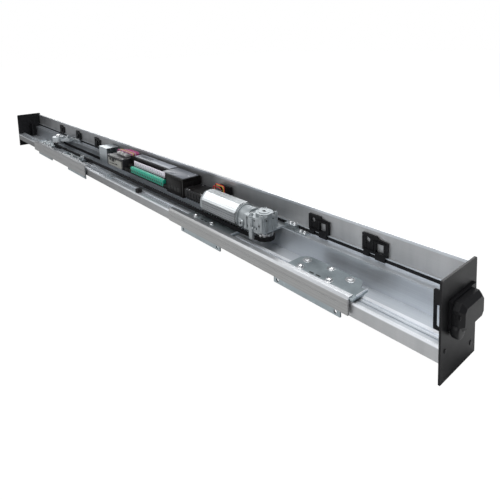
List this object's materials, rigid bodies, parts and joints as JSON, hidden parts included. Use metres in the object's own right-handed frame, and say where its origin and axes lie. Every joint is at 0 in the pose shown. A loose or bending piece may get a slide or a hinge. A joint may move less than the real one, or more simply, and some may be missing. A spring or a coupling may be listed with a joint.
{
  "type": "sliding door operator",
  "caption": "Wall header with a belt drive, motor, controller and roller carriages that move a pair of sliding door leaves apart and together.",
  "frame": {"origin": "on the wall plane, at mid-length of the header and midway across the end caps", "axes": "+X along the header towards the end with the side connector, +Z away from the wall, +Y up once the header hangs on the wall; the doors hang on the -Y side"},
  "size_m": [2.169, 0.1133, 0.15],
  "materials": {
    "header_profile": "natural anodised, fine lengthwise lines",
    "seal_strip": "matt black",
    "right_end_cap": "satin black",
    "left_end_cap": "satin black",
    "cap_brackets": "satin black",
    "connector_base": "satin black",
    "side_connector": "satin black",
    "cover_clips": "satin black",
    "drive_belt": "matt black",
    "motor_body": "natural extruded",
    "motor_rear_cap": "cast",
    "motor_flange": "die cast, fine grain",
    "gearbox_housing": "die cast, fine grain",
    "gearbox_cover": "die cast, fine grain",
    "drive_bracket": "zinc plated",
    "bracket_screws": "bright steel",
    "idler_bracket": "zinc plated",
    "idler_axle": "bright steel",
    "tension_block": "zinc plated",
    "tension_screw": "bright steel",
    "controller_housing": "dark brown-black",
    "terminal_strip": "green",
    "label_strip": "white",
    "controller_lid": "grey",
    "power_supply_box": "black",
    "power_supply_panel": "grey beige",
    "supply_connectors": "white",
    "supply_bracket": "zinc plated",
    "line_filter": "satin black",
    "wire_plate": "satin black",
    "supply_wires": "magenta",
    "motor_leads": "red",
    "closing_buffer": "matt black",
    "closing_stop": "zinc plated",
    "right_hanger_bar": "natural anodised",
    "right_inner_carriage": "zinc plated",
    "right_outer_carriage": "zinc plated",
    "right_roller_axles": "bright steel",
    "right_carriage_bolts": "bright steel",
    "right_belt_clamp": "zinc plated",
    "left_hanger_bar": "natural anodised",
    "left_inner_carriage": "zinc plated",
    "left_outer_carriage": "zinc plated",
    "left_roller_axles": "bright steel",
    "left_carriage_bolts": "bright steel",
    "left_belt_clamp": "zinc plated",
    "drive_pulley": "machined",
    "output_shaft": "bright steel",
    "idler_pulley": "machined",
    "right_inner_roller_1": "dark nylon",
    "right_inner_roller_2": "dark nylon",
    "right_outer_roller_1": "dark nylon",
    "right_outer_roller_2": "dark nylon",
    "left_inner_roller_1": "dark nylon",
    "left_inner_roller_2": "dark nylon",
    "left_outer_roller_1": "dark nylon",
    "left_outer_roller_2": "dark nylon"
  },
  "bodies": {
    "operator": {"header_profile": "header_profile", "seal_strip": "seal_strip", "right_end_cap": "right_end_cap", "left_end_cap": "left_end_cap", "cap_brackets": "cap_brackets", "connector_base": "connector_base", "side_connector": "side_connector", "cover_clips": "cover_clips", "drive_belt": "drive_belt", "motor_body": "motor_body", "motor_rear_cap": "motor_rear_cap", "motor_flange": "motor_flange", "gearbox_housing": "gearbox_housing", "gearbox_cover": "gearbox_cover", "drive_bracket": "drive_bracket", "bracket_screws": "bracket_screws", "idler_bracket": "idler_bracket", "idler_axle": "idler_axle", "tension_block": "tension_block", "tension_screw": "tension_screw", "controller_housing": "controller_housing", "terminal_strip": "terminal_strip", "label_strip": "label_strip", "controller_lid": "controller_lid", "power_supply_box": "power_supply_box", "power_supply_panel": "power_supply_panel", "supply_connectors": "supply_connectors", "supply_bracket": "supply_bracket", "line_filter": "line_filter", "wire_plate": "wire_plate", "supply_wires": "supply_wires", "motor_leads": "motor_leads", "closing_buffer": "closing_buffer", "closing_stop": "closing_stop"},
    "right_leaf": {"right_hanger_bar": "right_hanger_bar", "right_inner_carriage": "right_inner_carriage", "right_outer_carriage": "right_outer_carriage", "right_roller_axles": "right_roller_axles", "right_carriage_bolts": "right_carriage_bolts", "right_belt_clamp": "right_belt_clamp"},
    "left_leaf": {"left_hanger_bar": "left_hanger_bar", "left_inner_carriage": "left_inner_carriage", "left_outer_carriage": "left_outer_carriage", "left_roller_axles": "left_roller_axles", "left_carriage_bolts": "left_carriage_bolts", "left_belt_clamp": "left_belt_clamp"},
    "drive_pulley": {"drive_pulley": "drive_pulley", "output_shaft": "output_shaft"},
    "idler_pulley": {"idler_pulley": "idler_pulley"},
    "right_inner_roller_1": {"right_inner_roller_1": "right_inner_roller_1"},
    "right_inner_roller_2": {"right_inner_roller_2": "right_inner_roller_2"},
    "right_outer_roller_1": {"right_outer_roller_1": "right_outer_roller_1"},
    "right_outer_roller_2": {"right_outer_roller_2": "right_outer_roller_2"},
    "left_inner_roller_1": {"left_inner_roller_1": "left_inner_roller_1"},
    "left_inner_roller_2": {"left_inner_roller_2": "left_inner_roller_2"},
    "left_outer_roller_1": {"left_outer_roller_1": "left_outer_roller_1"},
    "left_outer_roller_2": {"left_outer_roller_2": "left_outer_roller_2"}
  },
  "joints": [
    {"name": "right_slide", "type": "slide", "parent": "operator", "child": "right_leaf", "axis": [1, 0, 0], "range_m": [-0.16, 0.105]},
    {"name": "left_slide", "type": "slide", "parent": "operator", "child": "left_leaf", "axis": [1, 0, 0], "range_m": [-0.105, 0.16]},
    {"name": "drive_spin", "type": "hinge", "parent": "operator", "child": "drive_pulley", "pos_m": [0.676, -0.007, 0.075], "axis": [0, 0, 1], "range_deg": [-320, 490]},
    {"name": "idler_spin", "type": "hinge", "parent": "operator", "child": "idler_pulley", "pos_m": [-0.614, -0.007, 0.075], "axis": [0, 0, 1], "range_deg": [-320, 490]},
    {"name": "right_inner_roll_1", "type": "hinge", "parent": "right_leaf", "child": "right_inner_roller_1", "pos_m": [0.456, -0.0097, 0.052], "axis": [0, 0, 1], "range_deg": [-470, 715]},
    {"name": "right_inner_roll_2", "type": "hinge", "parent": "right_leaf", "child": "right_inner_roller_2", "pos_m": [0.554, -0.0097, 0.052], "axis": [0, 0, 1], "range_deg": [-470, 715]},
    {"name": "right_outer_roll_1", "type": "hinge", "parent": "right_leaf", "child": "right_outer_roller_1", "pos_m": [0.796, -0.0097, 0.052], "axis": [0, 0, 1], "range_deg": [-470, 715]},
    {"name": "right_outer_roll_2", "type": "hinge", "parent": "right_leaf", "child": "right_outer_roller_2", "pos_m": [0.894, -0.0097, 0.052], "axis": [0, 0, 1], "range_deg": [-470, 715]},
    {"name": "left_inner_roll_1", "type": "hinge", "parent": "left_leaf", "child": "left_inner_roller_1", "pos_m": [-0.294, -0.0097, 0.052], "axis": [0, 0, 1], "range_deg": [-715, 470]},
    {"name": "left_inner_roll_2", "type": "hinge", "parent": "left_leaf", "child": "left_inner_roller_2", "pos_m": [-0.392, -0.0097, 0.052], "axis": [0, 0, 1], "range_deg": [-715, 470]},
    {"name": "left_outer_roll_1", "type": "hinge", "parent": "left_leaf", "child": "left_outer_roller_1", "pos_m": [-0.634, -0.0097, 0.052], "axis": [0, 0, 1], "range_deg": [-715, 470]},
    {"name": "left_outer_roll_2", "type": "hinge", "parent": "left_leaf", "child": "left_outer_roller_2", "pos_m": [-0.732, -0.0097, 0.052], "axis": [0, 0, 1], "range_deg": [-715, 470]}
  ],
  "couplings": [
    {"joint": "left_slide", "follows": "right_slide", "ratio": -1},
    {"joint": "drive_spin", "follows": "right_slide", "rad_per_m": -52.36},
    {"joint": "idler_spin", "follows": "right_slide", "rad_per_m": -52.36},
    {"joint": "right_inner_roll_1", "follows": "right_slide", "rad_per_m": -76.92},
    {"joint": "right_inner_roll_2", "follows": "right_slide", "rad_per_m": -76.92},
    {"joint": "right_outer_roll_1", "follows": "right_slide", "rad_per_m": -76.92},
    {"joint": "right_outer_roll_2", "follows": "right_slide", "rad_per_m": -76.92},
    {"joint": "left_inner_roll_1", "follows": "right_slide", "rad_per_m": 76.92},
    {"joint": "left_inner_roll_2", "follows": "right_slide", "rad_per_m": 76.92},
    {"joint": "left_outer_roll_1", "follows": "right_slide", "rad_per_m": 76.92},
    {"joint": "left_outer_roll_2", "follows": "right_slide", "rad_per_m": 76.92}
  ]
}
